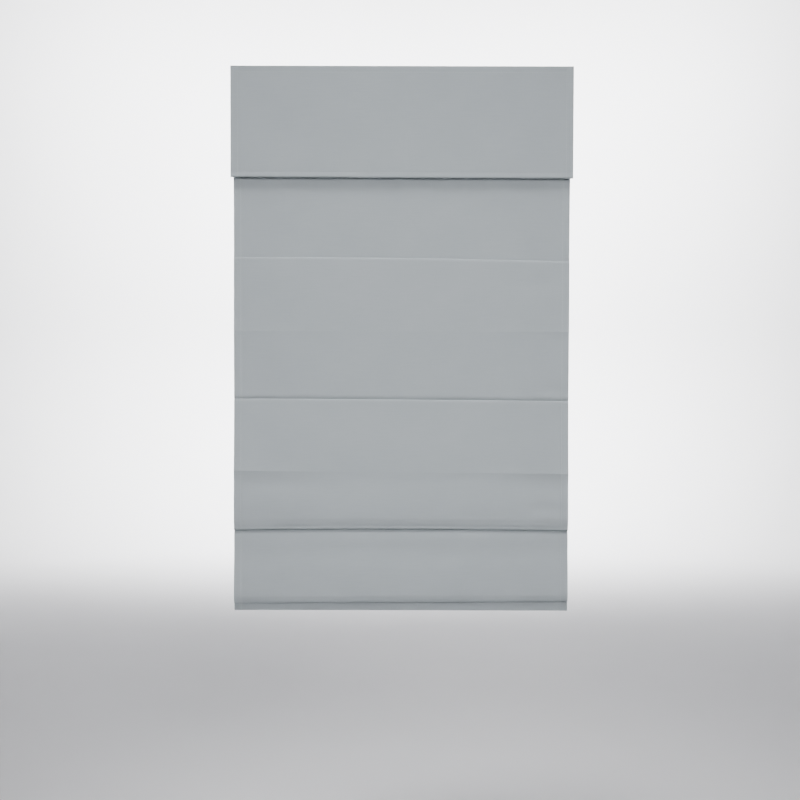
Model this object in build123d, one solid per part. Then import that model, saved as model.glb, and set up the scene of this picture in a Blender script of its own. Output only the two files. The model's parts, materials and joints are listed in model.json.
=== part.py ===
from build123d import *
import os

# Cordless roman blind hung from two ceiling brackets. Millimetres.
# X runs across the blind, -Y is the side that faces the room, +Z is up.
# The origin is on the top faces of the brackets, midway between them.

# ---- overall sizes -------------------------------------------------------
blind_width = 787.0      # width of the valance
valance_drop = 256.0
rail_depth = 40.0
rail_height = 32.0
cloth_inset = 5.5        # the cloth is this much narrower than the valance on each side

# ---- cloth heights, as hung with the last fold gathered ------------------
first_panel = 441.0      # from the top of the blind to the first batten
batten_pitch = 327.0     # flat cloth between two battens
slack = 31.0             # the third batten is held this much above its lowest place
stack_pitch = 22.0       # spacing of two gathered battens
fold_drop = 169.0        # bottom roll of the gathered fold below the third batten
bar_drop = 173.0         # bottom edge of the blind below the fourth batten
cloth = 1.0              # thickness of the cloth
cloth_y = -4.5           # mid plane of the hanging cloth
loop_stand = 5.0         # back layer of a gathered fold in front of the hanging cloth
loop_depth = 8.0         # between the two layers of a gathered fold
belly_height = 290.0     # how far above the third batten the cloth starts to belly forward

# ---- rail, brackets and end caps -----------------------------------------
wall = 1.2               # rail wall
lip = 5.3                # rail lip, measured from the outside
plate = 1.6              # bracket sheet
rail_drop = 0.6          # gap between bracket plate and rail lips
bracket_inset = 35.0     # bracket middle from the end of the rail
bracket_width = 30.0
screw_spacing = 16.0
screw_hole_r = 2.25
leg_gap = 2.2            # between the lips and the bracket legs
foot_reach = 5.0
tab_gap = 2.6            # between the rail and the bracket's release tab
tab_drop = 12.0
groove_height = 7.0      # bead groove under the rail
groove_width = 9.0
groove_slot = 2.6
cap = 2.0                # end cap plate
cap_inset = 1.5          # end cap plate from the side of the valance
plug = 10.0
plug_rib = 1.8
plug_fit = 0.2
edge = 0.5               # small chamfer on moulded edges

# ---- hook-and-loop tapes and valance -------------------------------------
tape = 1.2
tape_height = 25.0
tape_inset = 10.0
tape_top = -6.0
valance_top = -1.0
valance_hem = 12.0

# ---- lift mechanism ------------------------------------------------------
shaft_r = 3.0
shaft_flat = 2.4
shaft_fit = 0.05
shaft_end = 9.0          # shaft beyond the outer cradles
collar_r = 5.5
collar = 4.0
journal_r = 5.0
drum_r = 10.0
drum_length = 34.7
flange_rise = 2.0
flange = 1.5
flange_gap = 0.5         # flanges clear of the cradle walls and base
cradle_wall = 3.0
cradle_base = 2.0
cradle_side_gap = 2.8    # cradle base clear of the rail walls
cradle_r = 10.0
cord_inset = 100.0       # outer cords from the ends of the rail
cord_start = 1.1         # first turn from the flange
cord_r = 0.7
cord_gap = 0.3           # cord clear of the drum
coil_pitch = 1.5
coil_turns = 4.75
nozzle_r = 3.5
nozzle_bore_r = 1.6
nozzle_drop = 3.0
tube_r = 13.0
tube_wall = 1.2
tube_gap = 20.0          # tube from the middle cradle
tube_length = 150.0
tube_foot_inset = 12.0
tube_foot = 16.0
spring_r = 8.0
spring_wire_r = 0.75
spring_pitch = 4.0
spring_fit = 0.35        # spring clear of the hub that it doesn't grip
spring_hub = 12.0
hub_disc = 4.0

# ---- battens, pockets, rings and bottom bar ------------------------------
batten_r = 2.5
batten_inset = 8.0       # from the edge of the cloth
pocket_inset = 4.0
pocket_gap = 0.2
pocket_cloth = 0.7
pocket_stand = 5.2       # centre of a pocket behind the back of the cloth
neck = 1.4
eye_r = 4.4
eye_bore_r = 2.8
eye_height = 2.4
foot_width = 8.0
foot_height = 6.0
foot_grip = 1.6          # the saddle starts this far behind the middle of the batten
stop_r = 3.4             # cord stop under each lowest ring
stop_height = 6.0
stop_bore_r = 0.9
stop_gap = 0.2
knot_r = 1.9
rod_r = 1.5
rod_inset = 4.0
bar_depth = 3.0
bar_height = 22.0
bar_corner_r = 1.0
bar_inset = 3.0
bar_gap = 0.3
bar_cap = 3.5

# ---- derived -------------------------------------------------------------
cloth_width = blind_width - 2 * cloth_inset
rail_length = blind_width - 2 * (cap + cap_inset)
rail_top = -plate - rail_drop
rail_floor = rail_top - rail_height
inner_floor = rail_floor + wall
rail_front = -rail_depth / 2
rail_back = rail_depth / 2
base_top = inner_floor + cradle_base
loop_back_y = cloth_y - loop_stand
loop_front_y = loop_back_y - loop_depth
cloth_back = cloth_y + cloth / 2
pocket_y = cloth_back + pocket_stand
pocket_r = batten_r + pocket_gap + pocket_cloth
z_v1 = -first_panel
z_v2 = z_v1 - batten_pitch
z_v3 = z_v2 - batten_pitch + slack
z_v4 = z_v3 - stack_pitch
z_bottom = z_v4 - bar_drop
z_stop = z_v4 - eye_height / 2 - stop_gap
flange_r = drum_r + flange_rise
axis_z = base_top + flange_gap + flange_r
cord_run_r = drum_r + cord_gap + cord_r
outer_cord = rail_length / 2 - cord_inset
cord_x = [-outer_cord, 0.0, outer_cord]
bead_z = rail_floor - (groove_height - wall) / 2


def block(x, y, z):
    """A box given by its two ends along each axis."""
    size = [b - a for a, b in (x, y, z)]
    middle = [(a + b) / 2 for a, b in (x, y, z)]
    return Pos(*middle) * Box(*size)


def rod_x(radius, x, y, z):
    """A cylinder along X between two values of x."""
    return Pos((x[0] + x[1]) / 2, y, z) * Rot(0, 90, 0) * Cylinder(radius, x[1] - x[0])


def rod_z(radius, x, y, z):
    """A cylinder along Z between two heights."""
    return Pos(x, y, (z[0] + z[1]) / 2) * Cylinder(radius, z[1] - z[0])


def write(shape, node):
    shape.label = node
    export_step(shape, "parts/" + node + ".step")


def section(profile, half_width):
    """A profile drawn in Y and Z, carried the same distance both ways along X."""
    return extrude(Plane.YZ * profile, half_width, both=True)


def rounded_lift(centre_y, z, radius, top):
    """Half a turn of cloth, rolled over the top or under the bottom."""
    side = radius if top else -radius
    return ThreePointArc((centre_y - radius, z), (centre_y, z + side), (centre_y + radius, z))


def make_headrail():
    """U channel with inward lips, a bead groove under its floor and three cord holes."""
    half = rail_length / 2
    x = (-half, half)
    front, back = rail_front, rail_back
    rail = block(x, (front, back), (rail_floor, inner_floor))
    rail += block(x, (front, front + wall), (rail_floor, rail_top))
    rail += block(x, (back - wall, back), (rail_floor, rail_top))
    rail += block(x, (front, front + lip), (rail_top - wall, rail_top))
    rail += block(x, (back - lip, back), (rail_top - wall, rail_top))
    groove_floor = rail_floor - groove_height
    groove = (cloth_y - groove_width / 2, cloth_y + groove_width / 2)
    rail += block(x, groove, (groove_floor, rail_floor))
    hollow = (groove[0] + wall, groove[1] - wall)
    rail -= block(x, hollow, (groove_floor + wall, rail_floor))
    slot = (cloth_y - groove_slot / 2, cloth_y + groove_slot / 2)
    rail -= block(x, slot, (groove_floor, rail_floor))
    for cx in cord_x:
        rail -= rod_z(nozzle_r + cord_gap, cx, cord_run_r, (rail_floor, inner_floor))
    outer = [e for e in rail.edges().filter_by(Axis.X) if abs(abs(e.center().Y) - back) < 0.01]
    return fillet(outer, 0.8)


def make_end_cap(side):
    """Plate over the end of the rail with two ribs that push inside its walls."""
    half = rail_length / 2
    top = rail_top - wall - plug_fit
    body = block((half, half + cap), (rail_front, rail_back), (rail_floor, rail_top))
    groove = (cloth_y - groove_width / 2, cloth_y + groove_width / 2)
    body += block((half, half + cap), groove, (rail_floor - groove_height, rail_floor))
    rib_out = rail_back - wall - plug_fit
    for end in (-1, 1):
        rib = sorted((end * (rib_out - plug_rib), end * rib_out))
        body += block((half - plug, half), rib, (inner_floor + plug_fit, top))
    floor_rib = (inner_floor + plug_fit, inner_floor + plug_fit + plug_rib)
    body += block((half - plug, half), (-rib_out, rib_out), floor_rib)
    rim = body.faces().sort_by(Axis.X)[-1].edges()
    body = chamfer(rim, edge)
    return body if side > 0 else mirror(body, Plane.YZ)


def make_bracket(side):
    """Sheet bracket: two feet hold the rail by its lips, a tab at the rear lets it go."""
    x = (-bracket_width / 2, bracket_width / 2)
    foot_top = rail_top - wall
    leg_y = rail_back - lip - leg_gap
    tab_back = rail_back + tab_gap + plate
    body = block(x, (-leg_y - foot_reach, tab_back), (-plate, 0))
    for end in (-1, 1):
        leg = sorted((end * (leg_y - plate), end * leg_y))
        body += block(x, leg, (foot_top - plate, -plate))
        foot = sorted((end * (leg_y - plate), end * (leg_y + foot_reach)))
        body += block(x, foot, (foot_top - plate, foot_top))
    narrow = (-bracket_width / 4, bracket_width / 4)
    body -= block((narrow[1], x[1]), (rail_back, tab_back), (-plate, 0))
    body -= block((x[0], narrow[0]), (rail_back, tab_back), (-plate, 0))
    body += block(narrow, (tab_back - plate, tab_back), (-tab_drop, 0))
    for end in (-1, 1):
        body -= rod_z(screw_hole_r, 0, end * screw_spacing / 2, (-plate, 0))
    return Pos(side * (rail_length / 2 - bracket_inset), 0, 0) * body


def d_profile(radius, flat):
    """Round section with one flat, as the shaft and the bores that it drives."""
    return Circle(radius) - Pos(0, flat + radius) * Rectangle(4 * radius, 2 * radius)


def d_rod(radius, flat, x):
    place = Plane((x[0], 0, axis_z), x_dir=(0, 1, 0), z_dir=(1, 0, 0))
    return extrude(place * d_profile(radius, flat), x[1] - x[0])


def make_spool(cx):
    """Flanged drum on a keyed hub whose ends run in the cradle."""
    x0 = cx - flange - cord_start
    x1 = x0 + 2 * flange + drum_length
    drum = rod_x(drum_r, (x0, x1), 0, axis_z)
    for end in (x0, x1 - flange):
        drum += rod_x(flange_r, (end, end + flange), 0, axis_z)
    reach = flange_gap + cradle_wall + edge
    hub = (x0 - reach, x1 + reach)
    drum += rod_x(journal_r, hub, 0, axis_z)
    return drum - d_rod(shaft_r + shaft_fit, shaft_flat + shaft_fit, hub), hub


def make_cradle(cx, hub):
    """Base on the rail floor, two bearing walls and a nozzle for the cord."""
    x = (hub[0] + edge, hub[1] - edge)
    side = rail_back - wall - cradle_side_gap
    body = block(x, (-side, side), (inner_floor, base_top))
    for end in (x[0], x[1] - cradle_wall):
        body += block((end, end + cradle_wall), (-cradle_r, cradle_r), (base_top, axis_z))
        body += rod_x(cradle_r, (end, end + cradle_wall), 0, axis_z)
    body -= rod_x(journal_r + shaft_fit, x, 0, axis_z)
    body += rod_z(nozzle_r, cx, cord_run_r, (rail_floor - nozzle_drop, base_top))
    return body - rod_z(nozzle_bore_r, cx, cord_run_r, (rail_floor - nozzle_drop, base_top))


def coil(radius, pitch, turns, wire_r, x, z):
    """Round wire wound along X; it starts on the +Y side and first goes up."""
    place = Plane((x, 0, z), x_dir=(0, 1, 0), z_dir=(1, 0, 0))
    path = place * Helix(pitch, pitch * turns, radius)
    start = Plane(path @ 0, z_dir=path % 0)
    return sweep(start * Circle(wire_r), path=path, is_frenet=True)


def make_lift_cord():
    """Turns on the drum, then straight down to a knot under the lowest ring."""
    end_z = z_stop - stop_height - knot_r - stop_gap
    wound = coil(cord_run_r, coil_pitch, coil_turns, cord_r, 0, axis_z)
    cord = rod_z(cord_r, 0, cord_run_r, (end_z, axis_z))
    cord += Pos(0, cord_run_r, axis_z) * Sphere(cord_r)
    cord += Pos(0, cord_run_r, end_z) * Sphere(knot_r)
    return cord + wound


def make_fabric():
    """One sheet: bead in the rail groove, flat panels, gathered folds and the bar hem."""
    roll_mid = (loop_front_y + loop_back_y) / 2
    roll_r = (loop_back_y - loop_front_y) / 2
    crease_mid = (loop_back_y + cloth_y) / 2
    crease_r = (cloth_y - loop_back_y) / 2
    z_belly = z_v3 + belly_height
    z_roll = z_v3 - fold_drop
    hem_out = bar_depth / 2 + bar_gap + cloth
    hem_top = z_bottom + 2 * cloth + 2 * bar_gap + bar_height
    down = (0, -1)
    rod_out = rod_r + pocket_gap + cloth
    start = (cloth_y, bead_z - rod_out + cloth / 2)
    belly = [(cloth_y, z_belly), (cloth_y - 5, z_belly - 60), (loop_front_y + 1.6, z_v3 + 38)]
    under = [(6.5, 14), (1.5, 34), (0.4, 90)]
    under = [(loop_front_y + y, z_v3 - z) for y, z in under]
    path = [
        Line(start, belly[0]),
        Spline(*belly, (loop_front_y, z_v3), tangents=(down, down)),
        rounded_lift(roll_mid, z_v3, roll_r, False),
        rounded_lift(crease_mid, z_v3, crease_r, True),
        Spline((cloth_y, z_v3), *under, (loop_front_y, z_roll), tangents=(down, down)),
        rounded_lift(roll_mid, z_roll, roll_r, False),
        Line((loop_back_y, z_roll), (loop_back_y, z_v4)),
        rounded_lift(crease_mid, z_v4, crease_r, True),
        Line((cloth_y, z_v4), (cloth_y, hem_top - cloth / 2)),
    ]
    sheet = trace(path, cloth)
    bead = Circle(rod_out) - Circle(rod_out - cloth)
    hem_mid = (z_bottom + hem_top) / 2
    hem_size = hem_top - z_bottom
    hem_in = hem_out - cloth
    hem = RectangleRounded(2 * hem_out, hem_size, hem_out - bar_gap / 3)
    hem -= RectangleRounded(2 * hem_in, hem_size - 2 * cloth, hem_in - bar_gap / 3)
    outline = sheet + Pos(cloth_y, bead_z) * bead + Pos(cloth_y, hem_mid) * hem
    return section(outline, cloth_width / 2)


def make_pocket(z):
    """Cloth tube round a batten, joined to the back of the sheet by a short neck."""
    profile = Pos(pocket_y, z) * Circle(pocket_r)
    profile += Pos((cloth_back + pocket_y) / 2, z) * Rectangle(pocket_stand, neck)
    profile -= Pos(pocket_y, z) * Circle(pocket_r - pocket_cloth)
    return section(profile, cloth_width / 2 - pocket_inset)


def make_rings(z):
    """Moulded cord eyes, each with a saddle that grips the back of the pocket."""
    foot_y = (pocket_y + foot_grip, cord_run_r - (eye_r + eye_bore_r) / 2)
    rings = []
    for cx in cord_x:
        body = rod_z(eye_r, cx, cord_run_r, (z - eye_height / 2, z + eye_height / 2))
        foot_x = (cx - foot_width / 2, cx + foot_width / 2)
        foot_z = (z - foot_height / 2, z + foot_height / 2)
        body += block(foot_x, foot_y, foot_z)
        body -= rod_x(pocket_r + shaft_fit, foot_x, pocket_y, z)
        rings.append(body - rod_z(eye_bore_r, cx, cord_run_r, foot_z))
    return Compound(rings)


def make_cord_stops():
    """Beads on the cord ends that lift the lowest rings."""
    z = (z_stop - stop_height, z_stop)
    stops = []
    for cx in cord_x:
        stop = rod_z(stop_r, cx, cord_run_r, z)
        stop = chamfer(stop.edges().sort_by(Axis.Z)[0], 2 * edge)
        stops.append(stop - rod_z(stop_bore_r, cx, cord_run_r, z))
    return Compound(stops)


def make_valance():
    """Flat skirt in front of the rail with its bottom hem turned to the back."""
    half = blind_width / 2
    front = rail_front - 2 * tape - cloth
    back = front + cloth
    skirt = block((-half, half), (front, back), (-valance_drop, valance_top))
    hem_z = (-valance_drop, valance_hem - valance_drop)
    return skirt + block((-half, half), (back, back + cloth), hem_z)


def bar_piece(x):
    """A length of the flat bar with rounded corners, in its place in the hem."""
    middle = z_bottom + cloth + bar_gap + bar_height / 2
    place = Plane((x[0], cloth_y, middle), x_dir=(0, 1, 0), z_dir=(1, 0, 0))
    return extrude(place * RectangleRounded(bar_depth, bar_height, bar_corner_r), x[1] - x[0])


def make_bar_cap(side):
    """Plug that closes the end of the bar hem."""
    half = cloth_width / 2 - bar_inset
    body = bar_piece((half, half + bar_cap))
    body = chamfer(body.faces().sort_by(Axis.X)[-1].edges(), edge)
    return body if side > 0 else mirror(body, Plane.YZ)


def make_spring_tube(x):
    """Fixed tube round the lift spring, on two feet."""
    bore = rod_x(tube_r - tube_wall, x, 0, axis_z)
    tube = rod_x(tube_r, x, 0, axis_z)
    for middle in (x[0] + tube_foot_inset, x[1] - tube_foot_inset):
        foot_x = (middle - tube_foot / 2, middle + tube_foot / 2)
        tube += block(foot_x, (-tube_foot / 2, tube_foot / 2), (inner_floor, axis_z))
    return tube - bore


def make_spring_anchor(x):
    """Plug fixed in the left end of the tube; the first spring turns grip it."""
    inner_r = tube_r - tube_wall - shaft_fit
    body = rod_x(inner_r, (x[0], x[0] + hub_disc), 0, axis_z)
    grip_r = spring_r - spring_wire_r - shaft_fit
    body += rod_x(grip_r, (x[0], x[0] + hub_disc + spring_hub), 0, axis_z)
    return body - rod_x(shaft_r + shaft_fit, x, 0, axis_z)


def make_spring_hub(x):
    """Keyed hub in the right end of the tube that turns with the shaft."""
    inner_r = tube_r - tube_wall - spring_fit
    body = rod_x(inner_r, (x[1] - hub_disc, x[1]), 0, axis_z)
    grip_r = spring_r - spring_wire_r - spring_fit
    body += rod_x(grip_r, (x[1] - hub_disc - spring_hub, x[1]), 0, axis_z)
    return body - d_rod(shaft_r + shaft_fit, shaft_flat + shaft_fit, x)


def make_lift_spring(x):
    """Long torsion spring between the anchor and the hub."""
    margin = hub_disc + spring_wire_r + spring_fit
    turns = (x[1] - x[0] - 2 * margin) / spring_pitch
    return coil(spring_r, spring_pitch, turns, spring_wire_r, x[0] + margin, axis_z)


def make_collar(x):
    bore = d_rod(shaft_r + shaft_fit, shaft_flat + shaft_fit, x)
    return rod_x(collar_r, x, 0, axis_z) - bore


os.makedirs("parts", exist_ok=True)

write(make_headrail(), "headrail")
for side, name in ((-1, "left"), (1, "right")):
    write(make_end_cap(side), "rail_end_cap_" + name)
    write(make_bracket(side), "bracket_" + name)
    write(make_bar_cap(side), "bottom_bar_cap_" + name)

lift_cord = make_lift_cord()
hubs = []
for cx, name in zip(cord_x, ("left", "centre", "right")):
    spool, hub = make_spool(cx)
    hubs.append(hub)
    write(spool, "cord_spool_" + name)
    write(make_cradle(cx, hub), "cord_cradle_" + name)
    write(Pos(cx, 0, 0) * lift_cord, "lift_cord_" + name)

shaft_x = (hubs[0][0] - shaft_end, hubs[2][1] + shaft_end)
write(d_rod(shaft_r, shaft_flat, shaft_x), "lift_shaft")
write(make_collar((hubs[0][0] - edge - collar, hubs[0][0] - edge)), "shaft_collar_left")
write(make_collar((hubs[2][1] + edge, hubs[2][1] + edge + collar)), "shaft_collar_right")

tube_x = (hubs[1][1] + tube_gap, hubs[1][1] + tube_gap + tube_length)
write(make_spring_tube(tube_x), "lift_spring_tube")
write(make_spring_anchor(tube_x), "lift_spring_anchor")
write(make_spring_hub(tube_x), "lift_spring_hub")
write(make_lift_spring(tube_x), "lift_spring")

write(make_fabric(), "fabric")
rod_half = cloth_width / 2 - rod_inset
write(rod_x(rod_r, (-rod_half, rod_half), cloth_y, bead_z), "fabric_top_rod")
write(make_valance(), "valance")
tape_half = rail_length / 2 - tape_inset
for layer, name in enumerate(("valance_hook_tape", "valance_loop_tape")):
    y = (rail_front - (layer + 1) * tape, rail_front - layer * tape)
    write(block((-tape_half, tape_half), y, (tape_top - tape_height, tape_top)), name)

batten_half = cloth_width / 2 - batten_inset
for number, z in enumerate((z_v1, z_v2, z_v3, z_v4), start=1):
    write(rod_x(batten_r, (-batten_half, batten_half), pocket_y, z), "batten_" + str(number))
    write(make_pocket(z), "batten_pocket_" + str(number))
    write(make_rings(z), "cord_rings_" + str(number))
write(make_cord_stops(), "cord_stops")

bar_half = cloth_width / 2 - bar_inset
write(bar_piece((-bar_half, bar_half)), "bottom_bar")
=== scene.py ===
import json
import math

import bmesh
import bpy
from bpy.props import FloatProperty, FloatVectorProperty, IntProperty, PointerProperty
from mathutils import Matrix, Vector, geometry, noise


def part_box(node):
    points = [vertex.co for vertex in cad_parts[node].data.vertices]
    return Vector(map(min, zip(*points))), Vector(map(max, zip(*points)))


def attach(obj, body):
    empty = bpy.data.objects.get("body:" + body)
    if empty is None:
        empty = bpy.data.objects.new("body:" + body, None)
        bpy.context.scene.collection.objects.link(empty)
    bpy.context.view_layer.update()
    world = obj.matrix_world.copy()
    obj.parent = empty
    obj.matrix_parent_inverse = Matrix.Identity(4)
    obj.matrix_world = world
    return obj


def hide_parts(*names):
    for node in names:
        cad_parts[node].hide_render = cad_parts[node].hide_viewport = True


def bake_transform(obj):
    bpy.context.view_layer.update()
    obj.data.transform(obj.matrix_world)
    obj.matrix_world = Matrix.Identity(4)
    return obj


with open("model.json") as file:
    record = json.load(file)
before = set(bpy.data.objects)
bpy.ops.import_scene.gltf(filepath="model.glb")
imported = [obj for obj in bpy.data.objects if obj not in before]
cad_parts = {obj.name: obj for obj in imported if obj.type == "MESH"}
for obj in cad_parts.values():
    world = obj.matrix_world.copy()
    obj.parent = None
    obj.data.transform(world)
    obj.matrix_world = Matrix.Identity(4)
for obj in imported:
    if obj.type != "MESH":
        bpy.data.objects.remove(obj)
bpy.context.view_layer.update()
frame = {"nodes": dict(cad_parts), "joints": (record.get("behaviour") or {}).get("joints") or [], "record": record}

bl_info = {
    "name": "Roman Blind",
    "version": (1, 0, 0),
    "blender": (4, 5, 0),
    "location": "3D View > Sidebar > Blind",
    "description": "Builds the cloth, cords and finishes of a cordless roman blind",
    "category": "Object",
}

MM = 0.001
DOWN, UP, TO_BACK, TO_ROOM = -90.0, 90.0, 0.0, 180.0
SIDES = ("left", "centre", "right")


def colour(hex_code):
    """The linear colour, with alpha, of an sRGB hex code."""
    parts = [int(hex_code[i : i + 2], 16) / 255 for i in (1, 3, 5)]
    linear = [c / 12.92 if c <= 0.04045 else ((c + 0.055) / 1.055) ** 2.4 for c in parts]
    return (*linear, 1.0)


def middle(node, axis):
    """Middle of a CAD node along one axis, 0 to 2 for X to Z."""
    low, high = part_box(node)
    return (low[axis] + high[axis]) / 2


# ---- where the CAD pieces are ---------------------------------------------
SEAM = [middle(f"batten_pocket_{k}", 2) for k in (1, 2, 3, 4)]
POCKET_Y = middle("batten_1", 1)
CLOTH_LOW, CLOTH_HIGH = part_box("fabric")
VALANCE_LOW, VALANCE_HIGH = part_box("valance")
ROD_Y, ROD_Z = middle("fabric_top_rod", 1), middle("fabric_top_rod", 2)
RAIL_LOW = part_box("headrail")[0]
BAR_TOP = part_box("bottom_bar")[1].z
CORD_Y = middle("cord_stops", 1)
AXIS_Z = next(j["pos_m"][2] for j in frame["joints"] if j["name"] == "shaft_turn")
CLOTH_HALF = CLOTH_HIGH.x
LEVEL = (0.0, 0.0, 0.0)
# heights where the two panels below the first batten fold when they are raised
UPPER_CREASE_Z = (SEAM[0] + SEAM[1]) / 2
LOWER_CREASE_Z = SEAM[1] - (SEAM[0] - SEAM[1]) / 2


# ---- settings ---------------------------------------------------------------
class BlindSizes(bpy.types.PropertyGroup):
    """Sizes of the sewn and hanging pieces."""

    thickness: FloatProperty(
        name="Cloth", description="Thickness of the cloth", default=1.0 * MM, unit="LENGTH"
    )
    hem_thickness: FloatProperty(
        name="Side hem thickness", description="Cloth with its turned side hem",
        default=1.6 * MM, unit="LENGTH"
    )
    side_hem: FloatProperty(
        name="Side hem", description="Width of the turned side hems",
        default=18 * MM, unit="LENGTH"
    )
    fold_drop: FloatProperty(
        name="Fold drop", description="Gathered fold below the third batten",
        default=169 * MM, unit="LENGTH"
    )
    fold_gap: FloatProperty(
        name="Fold depth", description="Between the two layers of the gathered fold",
        default=8 * MM, unit="LENGTH"
    )
    billow: FloatProperty(
        name="Billow", description="How far a panel stands forward halfway down",
        default=5 * MM, unit="LENGTH"
    )
    belly: FloatProperty(
        name="Belly", description="How far the slack panel stands forward",
        default=11 * MM, unit="LENGTH"
    )
    upper_crease: FloatProperty(
        name="Upper crease", description="Height of the first fold crease at the sides",
        default=1.3 * MM, unit="LENGTH"
    )
    lower_crease: FloatProperty(
        name="Lower crease", description="Height of the second fold crease at the sides",
        default=4.8 * MM, unit="LENGTH"
    )
    column: FloatProperty(
        name="Mesh step", description="Width of one mesh column of the cloth",
        default=7 * MM, unit="LENGTH"
    )
    stitch: FloatProperty(
        name="Stitch", description="Distance between two stitches",
        default=4 * MM, unit="LENGTH"
    )
    thread: FloatProperty(
        name="Thread", description="Thickness of the sewing thread",
        default=0.7 * MM, unit="LENGTH"
    )
    cord: FloatProperty(
        name="Cord", description="Radius of the lift cords", default=0.7 * MM, unit="LENGTH"
    )
    cord_turns: FloatProperty(
        name="Cord turns", description="Turns left on each drum when the blind is down", default=4.75
    )
    cord_sides: IntProperty(name="Cord sides", description="Sides of a cord's mesh", default=12, min=6)


class BlindColours(bpy.types.PropertyGroup):
    """Colours that a user may change."""

    cloth_light: FloatVectorProperty(
        name="Cloth, light threads", description="Lighter of the cloth's two threads",
        subtype="COLOR", size=4, min=0, max=1, default=colour("#B2B9BD"),
    )
    cloth_dark: FloatVectorProperty(
        name="Cloth, dark threads", description="Darker of the cloth's two threads",
        subtype="COLOR", size=4, min=0, max=1, default=colour("#A2AAAE"),
    )
    # Lighter than the cloth: partly the thread's own colour and partly a painted highlight along the seam ledges.
    thread: FloatVectorProperty(
        name="Sewing thread", description="Thread of the seams and hems",
        subtype="COLOR", size=4, min=0, max=1, default=colour("#C9CFD2"),
    )
    rail: FloatVectorProperty(
        name="Headrail", description="Powder coat of the headrail",
        subtype="COLOR", size=4, min=0, max=1, default=colour("#ECECEA"),
    )
    floor: FloatVectorProperty(
        name="Floor", description="Floor and backdrop",
        subtype="COLOR", size=4, min=0, max=1, default=colour("#EEEEF0"),
    )


# ---- materials --------------------------------------------------------------
def put(tree, kind, inputs=None, **settings):
    """Adds a shader node. An input is a constant, or the socket it is linked from."""
    made = tree.nodes.new("ShaderNode" + kind)
    for name, value in settings.items():
        setattr(made, name, value)
    for name, value in (inputs or {}).items():
        if isinstance(value, bpy.types.NodeSocket):
            tree.links.new(value, made.inputs[name])
        else:
            made.inputs[name].default_value = value
    return made


MIX_FACTOR, MIX_A, MIX_B, MIX_OUT = 0, 6, 7, 2


def bands(period):
    """Scale of a Wave Texture whose bands are this many metres apart."""
    return math.tau / 20 / period


def new_material(name):
    material = bpy.data.materials.new(name)
    material.use_nodes = True
    material.node_tree.nodes.clear()
    return material, material.node_tree


def finish_material(tree, shader):
    put(tree, "OutputMaterial", {"Surface": shader.outputs[0]})


def woven_polyester():
    """Plain-woven polyester, dyed grey: matt, with faint slubs across and a soft sheen."""
    material, tree = new_material("woven_polyester_cloth")
    hues = bpy.context.scene.blind_colours
    surface = put(tree, "UVMap", uv_map="cloth").outputs["UV"]
    # Threads are 0.4 mm apart, too fine to show, so they are drawn 1.2 mm apart.
    threads = {"Vector": surface, "Scale": bands(1.2 * MM), "Distortion": 0.6, "Detail Scale": 2.0}
    weft = put(tree, "TexWave", threads, bands_direction="Y")
    warp = put(tree, "TexWave", threads, bands_direction="X")
    # Slubs are 60 mm long and 1.5 mm thick along the weft.
    run = put(tree, "Mapping", {"Vector": surface, "Scale": (1 / 0.06, 1 / 0.0015, 1.0)})
    slubs = put(tree, "TexNoise", {"Vector": run.outputs[0], "Scale": 1.0, "Detail": 2.0})
    # The dye takes unevenly over patches of a hand's width.
    dye = put(tree, "TexNoise", {"Vector": surface, "Scale": 1 / 0.11, "Detail": 3.0,
                                 "Roughness": 0.55})
    thread = put(tree, "Math", {0: weft.outputs["Fac"], 1: warp.outputs["Fac"]}, operation="ADD")
    patch = put(tree, "Math", {0: slubs.outputs["Fac"], 1: 0.55}, operation="MULTIPLY")
    tone = put(tree, "Math", {0: dye.outputs["Fac"], 1: 0.5, 2: patch.outputs[0]},
               operation="MULTIPLY_ADD")
    shade = put(tree, "Math", {0: thread.outputs[0], 1: 0.10, 2: tone.outputs[0]},
                operation="MULTIPLY_ADD")
    mix = put(tree, "Mix", {MIX_FACTOR: shade.outputs[0], MIX_A: hues.cloth_dark[:],
                            MIX_B: hues.cloth_light[:]}, data_type="RGBA")
    height = put(tree, "Math", {0: slubs.outputs["Fac"], 1: 0.8, 2: thread.outputs[0]},
                 operation="MULTIPLY_ADD")
    bump = put(tree, "Bump", {"Height": height.outputs[0], "Strength": 0.35, "Distance": 0.12 * MM})
    shader = put(tree, "BsdfPrincipled", {
        "Base Color": mix.outputs[MIX_OUT], "Normal": bump.outputs[0], "Roughness": 0.92, "IOR": 1.46,
        "Specular IOR Level": 0.25, "Sheen Weight": 0.18, "Sheen Roughness": 0.5})
    finish_material(tree, shader)
    return material


def sewing_thread():
    """Spun polyester thread with a fine twist, lighter than the cloth: partly its own colour and partly a painted
    highlight along the seam ledges.
    """
    material, tree = new_material("spun_polyester_thread")
    place = put(tree, "TexCoord").outputs["Object"]
    twist = put(tree, "TexWave", {"Vector": place, "Scale": bands(0.6 * MM)}, bands_direction="DIAGONAL")
    mix = put(tree, "Mix", {MIX_FACTOR: twist.outputs["Fac"], MIX_A: colour("#B4BABD"),
                            MIX_B: bpy.context.scene.blind_colours.thread[:]}, data_type="RGBA")
    bump = put(tree, "Bump", {"Height": twist.outputs["Fac"], "Strength": 0.4, "Distance": 0.08 * MM})
    shader = put(tree, "BsdfPrincipled", {"Base Color": mix.outputs[MIX_OUT], "Normal": bump.outputs[0],
                                          "Roughness": 0.7, "IOR": 1.46, "Sheen Weight": 0.2})
    finish_material(tree, shader)
    return material


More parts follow.
